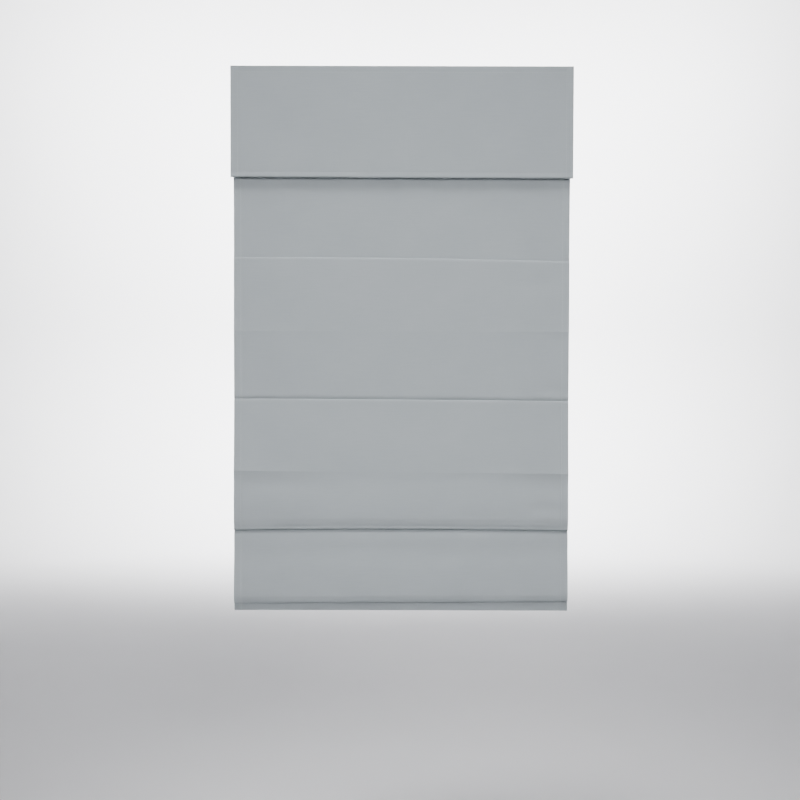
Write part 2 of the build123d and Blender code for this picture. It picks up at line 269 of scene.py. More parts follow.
def braided_cord():
    """Braided polyester cord: off-white, with a diamond braid 1.2 mm long."""
    material, tree = new_material("braided_polyester_cord")
    place = put(tree, "TexCoord").outputs["Object"]
    one = put(tree, "TexWave", {"Vector": place, "Scale": bands(1.2 * MM)}, bands_direction="Z")
    two = put(tree, "TexWave", {"Vector": place, "Scale": bands(0.9 * MM)}, bands_direction="DIAGONAL")
    braid = put(tree, "Math", {0: one.outputs["Fac"], 1: two.outputs["Fac"]}, operation="MULTIPLY")
    mix = put(tree, "Mix", {MIX_FACTOR: braid.outputs[0], MIX_A: colour("#C9C8C2"),
                            MIX_B: colour("#EDECE6")}, data_type="RGBA")
    bump = put(tree, "Bump", {"Height": braid.outputs[0], "Strength": 0.5, "Distance": 0.15 * MM})
    shader = put(tree, "BsdfPrincipled", {"Base Color": mix.outputs[MIX_OUT], "Normal": bump.outputs[0],
                                          "Roughness": 0.65, "IOR": 1.46, "Sheen Weight": 0.1})
    finish_material(tree, shader)
    return material


def hook_and_loop_tape():
    """Nylon hook-and-loop tape: a woven ground with a dense nap."""
    material, tree = new_material("nylon_hook_and_loop_tape")
    place = put(tree, "TexCoord").outputs["Object"]
    # Hooks and loops stand about 1 mm apart.
    nap = put(tree, "TexVoronoi", {"Vector": place, "Scale": 1 / 0.001})
    tone = put(tree, "TexNoise", {"Vector": place, "Scale": 1 / 0.02, "Detail": 2.0})
    mix = put(tree, "Mix", {MIX_FACTOR: tone.outputs["Fac"], MIX_A: colour("#D9D9D6"),
                            MIX_B: colour("#EFEFED")}, data_type="RGBA")
    bump = put(tree, "Bump", {"Height": nap.outputs["Distance"], "Strength": 0.8, "Distance": 0.4 * MM})
    shader = put(tree, "BsdfPrincipled", {"Base Color": mix.outputs[MIX_OUT], "Normal": bump.outputs[0],
                                          "Roughness": 0.85, "IOR": 1.53, "Sheen Weight": 0.15})
    finish_material(tree, shader)
    return material


def coated_metal(name, light, dark, peel, roughness):
    """Paint or powder coat on metal: fine orange peel, slightly dusty in patches."""
    material, tree = new_material(name)
    place = put(tree, "TexCoord").outputs["Object"]
    skin = put(tree, "TexNoise", {"Vector": place, "Scale": 1 / peel, "Detail": 2.0})
    dust = put(tree, "TexNoise", {"Vector": place, "Scale": 1 / 0.045, "Detail": 4.0, "Roughness": 0.6})
    mix = put(tree, "Mix", {MIX_FACTOR: dust.outputs["Fac"], MIX_A: dark, MIX_B: light}, data_type="RGBA")
    gloss = put(tree, "MapRange", {"Value": dust.outputs["Fac"], "To Min": roughness + 0.1,
                                   "To Max": roughness - 0.05})
    bump = put(tree, "Bump", {"Height": skin.outputs["Fac"], "Strength": 0.25, "Distance": 0.06 * MM})
    shader = put(tree, "BsdfPrincipled", {"Base Color": mix.outputs[MIX_OUT], "Normal": bump.outputs[0],
                                          "Roughness": gloss.outputs[0], "IOR": 1.5})
    finish_material(tree, shader)
    return material


def moulded_plastic(name, light, dark, grain, roughness, glow=0.0):
    """Injection-moulded plastic: a fine spark-eroded grain and faint flow marks."""
    material, tree = new_material(name)
    place = put(tree, "TexCoord").outputs["Object"]
    spark = put(tree, "TexNoise", {"Vector": place, "Scale": 1 / grain, "Detail": 2.0})
    flow = put(tree, "TexNoise", {"Vector": place, "Scale": 1 / 0.012, "Detail": 2.0, "Distortion": 1.2})
    mix = put(tree, "Mix", {MIX_FACTOR: flow.outputs["Fac"], MIX_A: dark, MIX_B: light}, data_type="RGBA")
    gloss = put(tree, "MapRange", {"Value": spark.outputs["Fac"], "To Min": roughness - 0.07,
                                   "To Max": roughness + 0.07})
    bump = put(tree, "Bump", {"Height": spark.outputs["Fac"], "Strength": 0.2, "Distance": 0.05 * MM})
    shader = put(tree, "BsdfPrincipled", {"Base Color": mix.outputs[MIX_OUT], "Normal": bump.outputs[0],
                                          "Roughness": gloss.outputs[0], "IOR": 1.53,
                                          "Subsurface Weight": glow, "Subsurface Scale": 1.5 * MM})
    finish_material(tree, shader)
    return material


def drawn_metal(name, light, dark, roughness):
    """Metal drawn or extruded along X: fine scratches run its length."""
    material, tree = new_material(name)
    place = put(tree, "TexCoord").outputs["Object"]
    # Die lines are 0.4 mm apart and run for 150 mm.
    run = put(tree, "Mapping", {"Vector": place, "Scale": (1 / 0.15, 1 / 0.0004, 1 / 0.0004)})
    lines = put(tree, "TexNoise", {"Vector": run.outputs[0], "Scale": 1.0, "Detail": 3.0})
    stain = put(tree, "TexNoise", {"Vector": place, "Scale": 1 / 0.03, "Detail": 3.0})
    mix = put(tree, "Mix", {MIX_FACTOR: stain.outputs["Fac"], MIX_A: dark, MIX_B: light}, data_type="RGBA")
    gloss = put(tree, "MapRange", {"Value": lines.outputs["Fac"], "To Min": roughness - 0.08,
                                   "To Max": roughness + 0.12})
    bump = put(tree, "Bump", {"Height": lines.outputs["Fac"], "Strength": 0.3, "Distance": 0.04 * MM})
    shader = put(tree, "BsdfPrincipled", {"Base Color": mix.outputs[MIX_OUT], "Normal": bump.outputs[0],
                                          "Metallic": 1.0, "Roughness": gloss.outputs[0]})
    finish_material(tree, shader)
    return material


def glass_fibre_rod():
    """Pultruded glass-fibre rod: cream, with fibres along its length."""
    material, tree = new_material("pultruded_glass_fibre")
    place = put(tree, "TexCoord").outputs["Object"]
    # Fibre bundles are 0.5 mm wide and 80 mm long.
    run = put(tree, "Mapping", {"Vector": place, "Scale": (1 / 0.08, 1 / 0.0005, 1 / 0.0005)})
    fibre = put(tree, "TexNoise", {"Vector": run.outputs[0], "Scale": 1.0, "Detail": 2.0})
    mix = put(tree, "Mix", {MIX_FACTOR: fibre.outputs["Fac"], MIX_A: colour("#CFCBB8"),
                            MIX_B: colour("#EBE8DA")}, data_type="RGBA")
    bump = put(tree, "Bump", {"Height": fibre.outputs["Fac"], "Strength": 0.2, "Distance": 0.05 * MM})
    shader = put(tree, "BsdfPrincipled", {"Base Color": mix.outputs[MIX_OUT], "Normal": bump.outputs[0],
                                          "Roughness": 0.38, "IOR": 1.55})
    finish_material(tree, shader)
    return material


def painted_floor():
    """Studio floor and backdrop: matt paint with a faint roller mottle."""
    material, tree = new_material("matt_painted_floor")
    place = put(tree, "TexCoord").outputs["Object"]
    roller = put(tree, "TexNoise", {"Vector": place, "Scale": 1 / 0.4, "Detail": 3.0})
    mix = put(tree, "Mix", {MIX_FACTOR: roller.outputs["Fac"], MIX_A: colour("#EAEAEC"),
                            MIX_B: bpy.context.scene.blind_colours.floor[:]}, data_type="RGBA")
    shader = put(tree, "BsdfPrincipled", {"Base Color": mix.outputs[MIX_OUT], "Roughness": 0.95})
    finish_material(tree, shader)
    return material


FINISHES = {}


def finish(slot):
    """The material of one of the record's slots, made once."""
    if not FINISHES:
        hues = bpy.context.scene.blind_colours
        FINISHES.update({
            "cloth": woven_polyester(),
            "thread": sewing_thread(),
            "cord": braided_cord(),
            "tape": hook_and_loop_tape(),
            "rail": coated_metal("powder_coated_aluminium", hues.rail[:], colour("#E0E0DE"),
                                 0.9 * MM, 0.45),
            "steel": coated_metal("painted_sheet_steel", colour("#E4E4E2"), colour("#D6D6D4"),
                                  1.4 * MM, 0.35),
            "plastic": moulded_plastic("moulded_abs", colour("#E6E5E1"), colour("#D9D8D3"),
                                       0.6 * MM, 0.48),
            "spool": moulded_plastic("moulded_acetal", colour("#DCDBD4"), colour("#CBCAC2"),
                                     0.8 * MM, 0.35, 0.1),
            "ring": moulded_plastic("moulded_polycarbonate", colour("#F0F0EC"), colour("#E2E2DD"),
                                    1.0 * MM, 0.22, 0.15),
            "rod": glass_fibre_rod(),
            "bar": drawn_metal("mill_finish_aluminium", colour("#CFD0D2"), colour("#B9BABD"), 0.38),
            "shaft": drawn_metal("drawn_steel", colour("#A9AAAD"), colour("#8F9093"), 0.3),
            "spring_steel": drawn_metal("oiled_spring_steel", colour("#74767A"), colour("#4D4F53"),
                                        0.28),
        })
        FINISHES["pocket"] = FINISHES["cloth"]
    return FINISHES[slot]


# ---- cloth ------------------------------------------------------------------
HANDLE = 0.39            # length of a handle as a share of the run between two knots
SHARP = math.radians(50)     # faces that meet at more than this keep a sharp edge
UPPER_REACH, LOWER_REACH = 14 * MM, 20 * MM    # heights over which the fold creases fade out
PUCKERS = (
    # x, z, depth, half width, half height of small dents and drags in the cloth
    (-0.300, -0.962, 2.2 * MM, 0.075, 0.018),
    (0.330, -0.960, 1.7 * MM, 0.060, 0.020),
    (0.352, -0.742, 1.6 * MM, 0.030, 0.010),
    (0.345, -1.020, 2.4 * MM, 0.045, 0.014),
    (-0.340, -1.035, 1.8 * MM, 0.060, 0.016),
    (-0.350, -0.730, 1.5 * MM, 0.050, 0.030),
    (0.362, -0.628, 1.2 * MM, 0.030, 0.012),
    (0.300, -0.500, 1.2 * MM, 0.090, 0.020),
)
SEAM_SAG = {
    # how far a seam or fold lies off level, at the left, in the middle and at the right
    "batten_1": (2.6 * MM, 1.5 * MM, -5.6 * MM),
    "batten_2": (2.2 * MM, 1.0 * MM, -1.7 * MM),
    "crease_1": (-3.6 * MM, -3.0 * MM, -3.9 * MM),
    "crease_2": (0.0, -2.5 * MM, -5.6 * MM),
    "fold_1": (-1.5 * MM, 1.8 * MM, -1.0 * MM),
    "fold_2": (-3.2 * MM, -0.5 * MM, 2.3 * MM),
    "valance": (1.2 * MM, 0.3 * MM, -0.4 * MM),
    "bar": (-0.3 * MM, 0.0, 0.3 * MM),
}


def sag(levels, share):
    """Height off level at a share of -1 to 1 across the blind."""
    left, mid, right = levels
    return mid + (right - left) / 2 * share + ((left + right) / 2 - mid) * share * share


def undulation(x, z, creases):
    """How far the hanging cloth stands forward of its line: soft waves, dents and fold creases."""
    forward = 0.5 * MM * noise.noise(Vector((x * 7, 0, z * 9)))
    forward += 0.22 * MM * noise.noise(Vector((x * 21, 3, z * 17)))
    for px, pz, depth, rx, rz in PUCKERS:
        reach = ((x - px) / rx) ** 2 + ((z - pz) / rz) ** 2
        forward -= depth * math.exp(-reach)
    # A fold crease stands up most at the sides, and hardly at all in the middle.
    side = 0.06 + 0.94 * abs(x / CLOTH_HALF) ** 2.2
    for crease_z, levels, height, reach in creases:
        away = abs(z - crease_z - sag(levels, x / CLOTH_HALF))
        forward += height * side * math.exp(-away / reach)
    return forward


class Sheet:
    """A strip of cloth laid along a line in Y and Z, the same at every X but for its sag and waves."""

    def __init__(self, knots, half, top=LEVEL, foot=LEVEL, waves=(1.0, 1.0), creases=()):
        self.half, self.top, self.foot = half, top, foot
        self.waves, self.creases = waves, creases
        self.rows = []
        for (y0, z0, a0, steps), (y1, z1, a1, _) in zip(knots, knots[1:]):
            start, end = Vector((0, y0, z0)), Vector((0, y1, z1))
            reach = (end - start).length * HANDLE
            leave, meet = (Vector((0, math.cos(a), math.sin(a))) for a in map(math.radians, (a0, a1)))
            line = geometry.interpolate_bezier(
                start, start + reach * leave, end - reach * meet, end, steps + 1)
            self.rows += line[:-1]
        self.rows.append(end)
        self.run = [0.0]
        for a, b in zip(self.rows, self.rows[1:]):
            self.run.append(self.run[-1] + (b - a).length)

    def at(self, x, row):
        """The point of the cloth at x, a number of rows down."""
        i = min(int(row), len(self.rows) - 2)
        line = self.rows[i].lerp(self.rows[i + 1], row - i)
        share = (self.run[i] + (self.run[i + 1] - self.run[i]) * (row - i)) / self.run[-1]
        across = x / self.half
        z = line.z + (1 - share) * sag(self.top, across) + share * sag(self.foot, across)
        calm = (1 - share) * self.waves[0] + share * self.waves[1]
        forward = undulation(x, z, self.creases) * calm if calm else 0.0
        return Vector((x, line.y - forward, z))

    def row_at(self, run):
        """The row that lies a length down the cloth."""
        for i in range(len(self.run) - 1):
            if self.run[i + 1] >= run:
                return i + (run - self.run[i]) / (self.run[i + 1] - self.run[i])
        return len(self.run) - 1.0

    def columns(self):
        """Places of the mesh columns, closer together at the edges and at the side hems."""
        sizes = bpy.context.scene.blind_sizes
        hem = sizes.side_hem
        edge = [0, 0.6 * MM, 2.5 * MM, hem / 2, hem - 0.6 * MM, hem + 0.6 * MM, hem + 3 * MM]
        inner = self.half - edge[-1]
        count = round(2 * inner / sizes.column)
        between = [-inner + 2 * inner * i / count for i in range(1, count)]
        return [e - self.half for e in edge] + between + [self.half - e for e in reversed(edge)]


def make_object(name, bm, slot):
    """Turns a finished bmesh into an object with its material and soft shading."""
    mesh = bpy.data.meshes.new(name)
    bm.to_mesh(mesh)
    bm.free()
    mesh.materials.append(finish(slot))
    mesh.polygons.foreach_set("use_smooth", [True] * len(mesh.polygons))
    mesh.set_sharp_from_angle(angle=SHARP)
    made = bpy.data.objects.new(name, mesh)
    bpy.context.scene.collection.objects.link(made)
    return made


def apply_modifiers(piece):
    """Keeps what the modifiers make of a piece as its own mesh."""
    graph = bpy.context.evaluated_depsgraph_get()
    mesh = bpy.data.meshes.new_from_object(piece.evaluated_get(graph))
    piece.modifiers.clear()
    piece.data = mesh
    mesh.set_sharp_from_angle(angle=SHARP)


def sew(name, sheet, slot="cloth"):
    """Makes the mesh of a sheet of cloth: a grid laid along the sheet, then given its thickness."""
    sizes = bpy.context.scene.blind_sizes
    columns, last = sheet.columns(), len(sheet.rows) - 1
    bm = bmesh.new()
    uv = bm.loops.layers.uv.new("cloth")
    bmesh.ops.create_grid(bm, x_segments=len(columns) - 1, y_segments=last, size=1)
    hem_edge = sheet.half - sizes.side_hem
    hem = bm.verts.layers.deform.verify()
    place = {}
    for v in bm.verts:
        column = round((v.co.x + 1) / 2 * (len(columns) - 1))
        row = last - round((v.co.y + 1) / 2 * last)
        place[v] = (columns[column], sheet.run[row])
        v.co = sheet.at(columns[column], row)
        if abs(columns[column]) > hem_edge:
            v[hem][0] = 1.0
    for face in bm.faces:
        for loop in face.loops:
            loop[uv].uv = place[loop.vert]
    piece = make_object(name, bm, slot)
    piece.vertex_groups.new(name="hem")
    wall = piece.modifiers.new("cloth", "SOLIDIFY")
    wall.thickness, wall.offset = sizes.hem_thickness, 0
    wall.vertex_group = "hem"
    wall.thickness_vertex_group = sizes.thickness / sizes.hem_thickness
    apply_modifiers(piece)
    return piece


def stitch(bm, place, along, out):
    """One stitch: a short length of thread that dips into the cloth at both ends."""
    sizes = bpy.context.scene.blind_sizes
    along = along.normalized()
    side = out.cross(along).normalized()
    axes = Matrix((along, side, side.cross(along))).transposed().to_4x4()
    size = Matrix.Diagonal((sizes.stitch * 0.4, sizes.thread / 2, sizes.thread / 2, 1))
    lie = Matrix.Rotation(math.pi / 2, 4, "Y")
    bmesh.ops.create_uvsphere(bm, u_segments=6, v_segments=4, radius=1,
                              matrix=Matrix.Translation(place) @ axes @ size @ lie)


def add_row(bm, stitches):
    """Adds a row of stitches, each a place, a direction and the side it shows on."""
    row = bmesh.new()
    for place, along, out in stitches:
        stitch(row, place, along, out)
    mesh = bpy.data.meshes.new("row")
    row.to_mesh(mesh)
    row.free()
    bm.from_mesh(mesh)
    bpy.data.meshes.remove(mesh)


def stitch_across(bm, sheet, run, half=None, face=1):
    """A row of stitches along X on the front (1) or back (-1) of the cloth."""
    sizes = bpy.context.scene.blind_sizes
    row, half = sheet.row_at(run), half or sheet.half - 3 * MM
    count = int(2 * half / sizes.stitch)
    stitches = []
    for i in range(count + 1):
        x = -half + 2 * half * i / count
        out = cloth_normal(sheet, x, row) * face
        stitches.append((sheet.at(x, row) + out * sizes.thickness / 2, Vector((1, 0, 0)), out))
    add_row(bm, stitches)


def cloth_normal(sheet, x, row):
    """Direction that the front of the cloth faces."""
    step = 0.05
    above, below = sheet.at(x, max(row - step, 0)), sheet.at(x, min(row + step, len(sheet.rows) - 1))
    return Vector((1, 0, 0)).cross(above - below).normalized()


def stitch_hems(bm, sheet, start=0.0, stop=0.0):
    """The rows of stitches down both side hems, on the front and the back."""
    sizes = bpy.context.scene.blind_sizes
    length = sheet.run[-1] - start - stop
    count = max(int(length / sizes.stitch), 1)
    for side in (-1, 1):
        x = side * (sheet.half - sizes.side_hem + 2 * MM)
        stitches = []
        for i in range(count):
            row = sheet.row_at(start + length * (i + 0.5) / count)
            here, ahead = sheet.at(x, row), sheet.at(x, min(row + 0.1, len(sheet.rows) - 1))
            behind = sheet.at(x, max(row - 0.1, 0))
            for face in (1, -1):
                out = cloth_normal(sheet, x, row) * face
                stitches.append((here + out * sizes.hem_thickness / 2, ahead - behind, out))
        add_row(bm, stitches)


def hang(piece, bodies, start=None, end=None):
    """Makes a piece ride on one body; a piece between two bodies only has its transform baked into its mesh. The
    heights start and end are not used.
    """
    if len(bodies) == 1:
        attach(piece, bodies[0])
    else:
        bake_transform(piece)


def hang_sheet(name, sheet, bodies, heights=(None, None), rows=()):
    panel = sew(name, sheet)
    bm = bmesh.new()
    stitch_hems(bm, sheet)
    for run in rows:
        stitch_across(bm, sheet, run)
    stitches = make_object("stitches_" + name, bm, "thread")
    for piece in (panel, stitches):
        hang(piece, bodies, *heights)
    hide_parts("fabric")
    return panel


class BLIND_OT_panels(bpy.types.Operator):
    """Sew the hanging panels between the battens"""

    bl_idname = "blind.panels"
    bl_label = "Hanging panels"

    def execute(self, context):
        sizes, y = context.scene.blind_sizes, ROD_Y
        v1, v2, m1, m2 = SEAM[0], SEAM[1], UPPER_CREASE_Z, LOWER_CREASE_Z
        bead = 2.2 * MM      # radius of the bead round the top rod
        head = (ROD_Z + v1) / 2
        lip = 2.9 * MM       # the cloth below a seam stands this far out over it
        top_forward = 7 * MM  # the first panel stands this far forward halfway down
        creases = ((m1, SEAM_SAG["crease_1"], sizes.upper_crease, UPPER_REACH),
                   (m2, SEAM_SAG["crease_2"], sizes.lower_crease, LOWER_REACH))

        def seam_end(z, curl, heading):
            """The cloth above a seam curls back into it."""
            return ((y - curl, z + 20 * MM, -89.0, 8), (y + 0.4 * MM, z + 0.5 * MM, heading, 0))

        def seam_start(z):
            """The cloth below a seam stands out over it as a small lit ledge."""
            return ((y + 0.4 * MM, z + 0.5 * MM, 165.0, 3), (y - 0.9 * MM, z + 0.4 * MM, -140.0, 4),
                    (y - lip, z - 3.2 * MM, -97.0, 3), (y - lip - 0.3 * MM, z - 8 * MM, -91.5, 20))

        hang_sheet("cloth_head", Sheet(
            ((y + 0.8 * MM, ROD_Z - 2.1 * MM, 20.0, 3), (y + bead, ROD_Z, UP, 4),
             (y, ROD_Z + bead, TO_ROOM, 4), (y - bead, ROD_Z, DOWN, 3),
             (y, ROD_Z - 3.2 * MM, DOWN, 2), (y, RAIL_LOW.z - 3 * MM, DOWN, 24),
             (y - top_forward, head, DOWN, 0)),
            CLOTH_HALF, waves=(0.0, 1.0), creases=creases), ["headrail"])
        hang_sheet("cloth_to_batten_1", Sheet(
            ((y - top_forward, head, -84.0, 24), *seam_end(v1, 0.4 * MM, -84.0)), CLOTH_HALF,
            foot=SEAM_SAG["batten_1"], creases=creases),
            ["headrail", "batten_1"], (head, v1 + 6 * MM))
        hang_sheet("cloth_below_batten_1", Sheet(
            (*seam_start(v1), (y - sizes.billow, m1, DOWN, 0)), CLOTH_HALF,
            top=SEAM_SAG["batten_1"], foot=SEAM_SAG["crease_1"], creases=creases),
            ["batten_1"], rows=[2.8 * MM])
        hang_sheet("cloth_to_batten_2", Sheet(
            ((y - sizes.billow, m1, -87.5, 20), *seam_end(v2, 3.6 * MM, -54.0)), CLOTH_HALF,
            top=SEAM_SAG["crease_1"], foot=SEAM_SAG["batten_2"], creases=creases),
            ["batten_1", "batten_2"], (m1 - 4 * MM, v2 + 6 * MM))
        hang_sheet("cloth_below_batten_2", Sheet(
            (*seam_start(v2), (y - sizes.belly, m2, -91.0, 0)), CLOTH_HALF,
            top=SEAM_SAG["batten_2"], foot=SEAM_SAG["crease_2"], creases=creases),
            ["batten_2"], rows=[2.8 * MM])
        return {"FINISHED"}


class BLIND_OT_gathered_folds(bpy.types.Operator):
    """Sew the gathered folds at the bottom and the hem round the bar"""

    bl_idname = "blind.gathered_folds"
    bl_label = "Gathered folds"

    def execute(self, context):
        sizes, y = context.scene.blind_sizes, ROD_Y
        v3, v4 = SEAM[2], SEAM[3]
        m2 = LOWER_CREASE_Z
        front = CLOTH_LOW.y + sizes.thickness / 2
        back = front + sizes.fold_gap
        roll = v3 - sizes.fold_drop
        lowest = front + 3.6 * MM        # where the bottom roll touches its lowest
        crease_y, crease_r = (back + y) / 2, (y - back) / 2
        creases = ((m2, SEAM_SAG["crease_2"], sizes.lower_crease, LOWER_REACH),)

        hang_sheet("cloth_to_batten_3", Sheet(
            ((y - sizes.belly, m2, -90.0, 14), (front - 3.6 * MM, v3 + 27 * MM, -88.0, 12),
             (front - 2.2 * MM, v3 + 15 * MM, -77.0, 5), (front + 1.0 * MM, v3 + 4 * MM, -64.0, 5),
             (front + 4.2 * MM, v3 - 4 * MM, TO_BACK, 4), (back, v3 - 1.2 * MM, UP, 4),
             (crease_y, v3 + crease_r, TO_BACK, 0)),
            CLOTH_HALF, top=SEAM_SAG["crease_2"], foot=SEAM_SAG["fold_1"], creases=creases),
            ["batten_2", "batten_3"], (m2 - 7 * MM, v3 + 36 * MM))
        hang_sheet("cloth_fold_front", Sheet(
            ((crease_y, v3 + crease_r, TO_BACK, 4), (y, v3, DOWN, 4),
             (y - 3.4 * MM, v3 - 8.5 * MM, -125.0, 4), (y - 6.4 * MM, v3 - 16 * MM, -97.0, 5),
             (y - 7.2 * MM, v3 - 50 * MM, -92.0, 6), (front - 1.2 * MM, roll + 50 * MM, -91.0, 8),
             (front - 2.6 * MM, roll + 14 * MM, -88.0, 8), (front - 1.2 * MM, roll + 6 * MM, -72.0, 5),
             (front + 1.0 * MM, roll - 0.2 * MM, -58.0, 4), (lowest, roll - 4 * MM, TO_BACK, 0)),
            CLOTH_HALF, top=SEAM_SAG["fold_1"], foot=SEAM_SAG["fold_2"]),
            ["batten_3"])
        hang_sheet("cloth_fold_back", Sheet(
            ((lowest, roll - 4 * MM, TO_BACK, 4), (back, roll, UP, 24), (back, v4, UP, 4),
             (crease_y, v4 + crease_r, TO_BACK, 0)),
            CLOTH_HALF, top=SEAM_SAG["fold_2"], waves=(1.0, 0.3)),
            ["batten_3", "batten_4"], (roll - 2 * MM, v4 - 8 * MM))
        out = 2.3 * MM       # half the depth of the hem round the bar
        low, high = CLOTH_LOW.z + sizes.thickness / 2, BAR_TOP + 1.2 * MM
        hang_sheet("cloth_bar_hem", Sheet(
            ((crease_y, v4 + crease_r, TO_BACK, 4), (y, v4, DOWN, 16), (y - 0.2 * MM, high, DOWN, 3),
             (y - out, high - 5 * MM, DOWN, 6), (y - out, low + 3 * MM, DOWN, 4), (y, low, TO_BACK, 4),
             (y + out, low + 3 * MM, UP, 6), (y + out, high - 5 * MM, UP, 3),
             (y + 0.9 * MM, high - 0.5 * MM, 110.0, 0)),
            CLOTH_HALF, foot=SEAM_SAG["bar"], waves=(0.3, 0.0)),
            ["batten_4"], rows=[v4 - high + 10 * MM])
        return {"FINISHED"}


class BLIND_OT_valance(bpy.types.Operator):
    """Sew the flat valance with its bottom hem"""

    bl_idname = "blind.valance"
    bl_label = "Valance"

    def execute(self, context):
        sizes = context.scene.blind_sizes
        half, y = VALANCE_HIGH.x, VALANCE_LOW.y + sizes.thickness / 2
        top, low = VALANCE_HIGH.z, VALANCE_LOW.z + sizes.thickness / 2
        hem, tape_seam = 12 * MM, 14.5 * MM
        sheet = Sheet(
            ((y, top, DOWN, 4), (y + 0.3 * MM, top - tape_seam, DOWN, 3), (y, top - 18 * MM, DOWN, 34),
             (y, low + hem + 1.5 * MM, DOWN, 3), (y + 0.2 * MM, low + hem, -95.0, 6),
             (y - 0.9 * MM, low + 3.6 * MM, -91.0, 4), (y + 0.1 * MM, low + 0.5 * MM, -50.0, 3),
             (y + 1.0 * MM, low + 0.1 * MM, 10.0, 3), (y + 1.7 * MM, low + 1.5 * MM, UP, 4),
             (y + 1.1 * MM, low + hem, UP, 0)),
            half, foot=SEAM_SAG["valance"], waves=(0.25, 0.7))
        panel = sew("valance_cloth", sheet)
        bm = bmesh.new()
        stitch_hems(bm, sheet, stop=hem)
        stitch_across(bm, sheet, tape_seam)
        stitch_across(bm, sheet, top - low - hem + 0.5 * MM)
        stitches = make_object("stitches_valance", bm, "thread")
        for piece in (panel, stitches):
            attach(piece, "headrail")
        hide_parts("valance")
        return {"FINISHED"}


class BLIND_OT_batten_pockets(bpy.types.Operator):
    """Sew the cloth pockets that hold the battens"""

    bl_idname = "blind.batten_pockets"
    bl_label = "Batten pockets"

    def execute(self, context):
        wall = 0.7 * MM
        for number, z in enumerate(SEAM, start=1):
            low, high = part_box(f"batten_pocket_{number}")
            r = (high.z - low.z) / 2 - wall / 2
            sheet = Sheet(
                ((low.y + wall, z + 0.4 * MM, TO_BACK, 4), (POCKET_Y, z + r, TO_BACK, 5),
                 (POCKET_Y + r, z, DOWN, 5), (POCKET_Y, z - r, TO_ROOM, 4),
                 (low.y + wall, z - 0.4 * MM, TO_ROOM, 0)), high.x, waves=(0.0, 0.0))
            bm = bmesh.new()
            pocket = sew(f"pocket_cloth_{number}", sheet, "pocket")
            stitch_across(bm, sheet, 1.2 * MM)
            stitches = make_object(f"stitches_pocket_{number}", bm, "thread")
            for piece in (pocket, stitches):
                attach(piece, f"batten_{number}")
            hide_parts(f"batten_pocket_{number}")
        return {"FINISHED"}


# ---- lift cords -------------------------------------------------------------
def straight_cord(x, top, foot):
    """A length of cord between two heights."""
    sizes = bpy.context.scene.blind_sizes
    bm = bmesh.new()
    ring = bmesh.ops.create_circle(bm, segments=sizes.cord_sides, radius=sizes.cord, cap_ends=True,
                                   matrix=Matrix.Translation((x, CORD_Y, foot)))
    bmesh.ops.extrude_face_region(bm, geom=bm.faces[:])
    bm.verts.ensure_lookup_table()
    lifted = [v for v in bm.verts if v not in set(ring["verts"])]
    bmesh.ops.translate(bm, verts=lifted, vec=(0, 0, top - foot))
    long_edges = [e for e in bm.edges if abs(e.verts[0].co.z - e.verts[1].co.z) > 1e-6]
    bmesh.ops.subdivide_edges(bm, edges=long_edges, cuts=12, use_grid_fill=True)
    bmesh.ops.recalc_face_normals(bm, faces=bm.faces[:])
    return bm


def wound_cord(x, foot):
    """The turns on the drum and the run down through the cradle's nozzle."""
    sizes = bpy.context.scene.blind_sizes
    bm = straight_cord(x, AXIS_Z, foot)
    start = bmesh.ops.create_circle(bm, segments=sizes.cord_sides, radius=sizes.cord, cap_ends=True,
                                    matrix=Matrix.Translation((x, CORD_Y, AXIS_Z)))
    steps = int(sizes.cord_turns * 32)
    pitch = 1.5 * MM     # from one turn to the next, along the drum
    faces = list({f for v in start["verts"] for f in v.link_faces})
    bmesh.ops.spin(bm, geom=start["verts"] + faces, cent=(x, 0, AXIS_Z), axis=(1, 0, 0),
                   angle=math.tau * sizes.cord_turns, steps=steps,
                   dvec=(pitch * sizes.cord_turns / steps, 0, 0))
    bmesh.ops.recalc_face_normals(bm, faces=bm.faces[:])
    return bm


def knot(x, z, radius):
    """An end knot: two crossed turns round a core, with a short tail."""
    sizes = bpy.context.scene.blind_sizes
    bm = straight_cord(x, z + radius, z - radius * 1.3)
    for lean in (-0.5, 0.6):
        turn = Matrix.Translation((x, CORD_Y, z)) @ Matrix.Rotation(lean, 4, "Y")
        out = Matrix.Translation((radius - sizes.cord, 0, 0)) @ Matrix.Rotation(math.pi / 2, 4, "X")
        ring = bmesh.ops.create_circle(bm, segments=sizes.cord_sides, radius=sizes.cord,
                                       matrix=turn @ out)
        edges = list({e for v in ring["verts"] for e in v.link_edges})
        axis = turn.to_3x3() @ Vector((0, 0, 1))
        bmesh.ops.spin(bm, geom=ring["verts"] + edges, cent=(x, CORD_Y, z), axis=axis,
                       angle=math.tau, steps=20, use_merge=True)
    bmesh.ops.recalc_face_normals(bm, faces=bm.faces[:])
    return bm


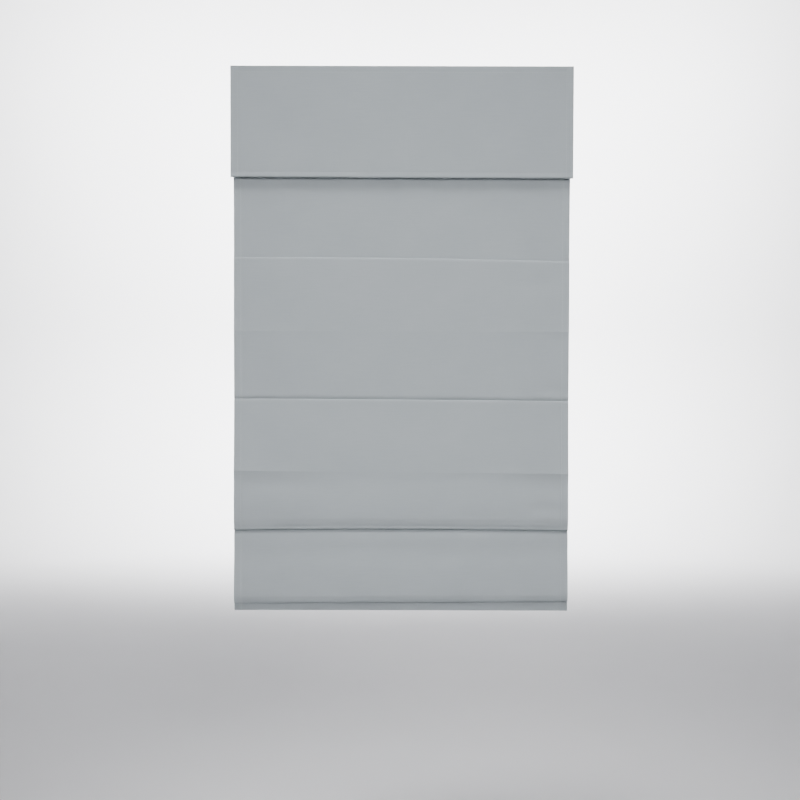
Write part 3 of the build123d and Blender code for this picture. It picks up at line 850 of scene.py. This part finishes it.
class BLIND_OT_lift_cords(bpy.types.Operator):
    """Make the three lift cords in lengths that run between the battens"""

    bl_idname = "blind.lift_cords"
    bl_label = "Lift cords"

    def execute(self, context):
        knot_radius = 1.9 * MM
        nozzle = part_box("cord_cradle_left")[0].z
        stop_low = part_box("cord_stops")[0].z
        for side in SIDES:
            node = "lift_cord_" + side
            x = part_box(node)[0].x + knot_radius
            heights = [nozzle, *SEAM, stop_low]
            bodies = ["headrail", "batten_1", "batten_2", "batten_3", "batten_4"]
            fixed = (None, None)
            made = [(f"cord_wound_{side}", wound_cord(x, nozzle), ["headrail"], fixed)]
            for i in range(4):
                span = (heights[i], heights[i + 1])
                made.append((f"cord_{side}_{i + 1}", straight_cord(x, *span), bodies[i : i + 2], span))
            made.append((f"cord_{side}_5", straight_cord(x, SEAM[3], stop_low), ["batten_4"], fixed))
            tied = knot(x, stop_low - knot_radius, knot_radius)
            made.append((f"cord_knot_{side}", tied, ["batten_4"], fixed))
            for name, bm, carried, (start, end) in made:
                piece = make_object(name, bm, "cord")
                hang(piece, carried, start, end)
                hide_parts(node)
        return {"FINISHED"}


class BLIND_OT_hardware(bpy.types.Operator):
    """Give the rail, brackets, mechanism, battens and bar their finishes"""

    bl_idname = "blind.hardware"
    bl_label = "Hardware finishes"

    def execute(self, context):
        for part in frame["record"]["subparts"]:
            node = frame["nodes"][part["node"]]
            if node.data.materials:
                node.material_slots[0].material = finish(part["material_slot"])
            else:
                node.data.materials.append(finish(part["material_slot"]))
        return {"FINISHED"}


class BLIND_OT_stage(bpy.types.Operator):
    """Make the floor, the lights and the camera"""

    bl_idname = "blind.stage"
    bl_label = "Stage"

    def execute(self, context):
        scene = context.scene
        # The window head is 2.05 m above the floor. The backdrop curves up all round.
        floor_z, flat, cove, wall_top = -2.05, 6.5, 1.5, 6.0
        bm = bmesh.new()
        middle_vert = bm.verts.new((0, 0, floor_z))
        edge_vert = bm.verts.new((flat, 0, floor_z))
        bm.edges.new((middle_vert, edge_vert))
        bmesh.ops.spin(bm, geom=[edge_vert], cent=(flat, 0, floor_z + cove), axis=(0, -1, 0),
                       angle=math.pi / 2, steps=16)
        top_vert = max(bm.verts, key=lambda v: v.co.z)
        lifted = bmesh.ops.extrude_vert_indiv(bm, verts=[top_vert])["verts"]
        bmesh.ops.translate(bm, verts=lifted, vec=(0, 0, wall_top - top_vert.co.z))
        bmesh.ops.spin(bm, geom=bm.verts[:] + bm.edges[:], cent=(0, 0, 0), axis=(0, 0, 1),
                       angle=math.tau, steps=64, use_merge=True)
        bmesh.ops.remove_doubles(bm, verts=bm.verts[:], dist=1e-5)
        bmesh.ops.recalc_face_normals(bm, faces=bm.faces[:])
        mesh = bpy.data.meshes.new("studio_floor")
        bm.to_mesh(mesh)
        bm.free()
        mesh.materials.append(painted_floor())
        mesh.polygons.foreach_set("use_smooth", [True] * len(mesh.polygons))
        floor = bpy.data.objects.new("studio_floor", mesh)
        scene.collection.objects.link(floor)

        blind, backdrop = (0, 0, -0.62), (0, 8, -0.4)
        for name, place, size, watts, spread, target in (
            ("key_light", (-0.9, -2.75, 4.7), 2.0, 13.4, 30, blind),
            ("fill_light", (0.9, -4.6, 0.9), 1.6, 7.9, 36, blind),
            ("back_light", (0.6, 3.4, 1.4), 2.0, 8.0, 70, blind),
            ("backdrop_light_left", (-3.4, 4.6, 3.4), 2.0, 330.0, 70, backdrop),
            ("backdrop_light_right", (3.4, 4.6, 3.4), 2.0, 330.0, 70, backdrop),
        ):
            light = bpy.data.lights.new(name, "AREA")
            light.shape, light.size, light.energy = "SQUARE", size, watts
            light.spread = math.radians(spread)
            lamp = bpy.data.objects.new(name, light)
            lamp.location = place
            aim = Vector(target) - lamp.location
            lamp.rotation_euler = aim.to_track_quat("-Z", "Y").to_euler()
            lamp.visible_camera = False
            scene.collection.objects.link(lamp)

        world = bpy.data.worlds.new("studio")
        world.use_nodes = True
        world.node_tree.nodes["Background"].inputs["Color"].default_value = colour("#F4F6FA")
        world.node_tree.nodes["Background"].inputs["Strength"].default_value = 0.02
        scene.world = world

        camera = bpy.data.cameras.new("camera")
        camera.lens = 68.56
        viewer = bpy.data.objects.new("camera", camera)
        stand = Matrix.Translation((-0.0029, -3.54, -0.6175))
        pitch, roll = math.radians(-2.425), math.radians(0.147)
        viewer.matrix_world = (stand @ Matrix.Rotation(math.pi / 2 + pitch, 4, "X")
                               @ Matrix.Rotation(roll, 4, "Z"))
        scene.collection.objects.link(viewer)
        scene.camera = viewer
        return {"FINISHED"}


OPERATORS = (
    BLIND_OT_stage,
    BLIND_OT_hardware,
    BLIND_OT_panels,
    BLIND_OT_gathered_folds,
    BLIND_OT_valance,
    BLIND_OT_batten_pockets,
    BLIND_OT_lift_cords,
)


class BLIND_PT_pieces(bpy.types.Panel):
    """The blind's settings and pieces"""

    bl_idname = "BLIND_PT_pieces"
    bl_label = "Roman Blind"
    bl_space_type = "VIEW_3D"
    bl_region_type = "UI"
    bl_category = "Blind"

    def draw(self, context):
        for group in (context.scene.blind_sizes, context.scene.blind_colours):
            for name in type(group).__annotations__:
                self.layout.prop(group, name)
        for operator in OPERATORS:
            self.layout.operator(operator.bl_idname)


CLASSES = (BlindSizes, BlindColours, *OPERATORS, BLIND_PT_pieces)


def register():
    for cls in CLASSES:
        bpy.utils.register_class(cls)
    bpy.types.Scene.blind_sizes = PointerProperty(type=BlindSizes)
    bpy.types.Scene.blind_colours = PointerProperty(type=BlindColours)


def unregister():
    del bpy.types.Scene.blind_colours
    del bpy.types.Scene.blind_sizes
    for cls in reversed(CLASSES):
        bpy.utils.unregister_class(cls)


def main():
    register()
    for operator in OPERATORS:
        group, action = operator.bl_idname.split(".")
        getattr(getattr(bpy.ops, group), action)()


if __name__ == "__main__":
    main()
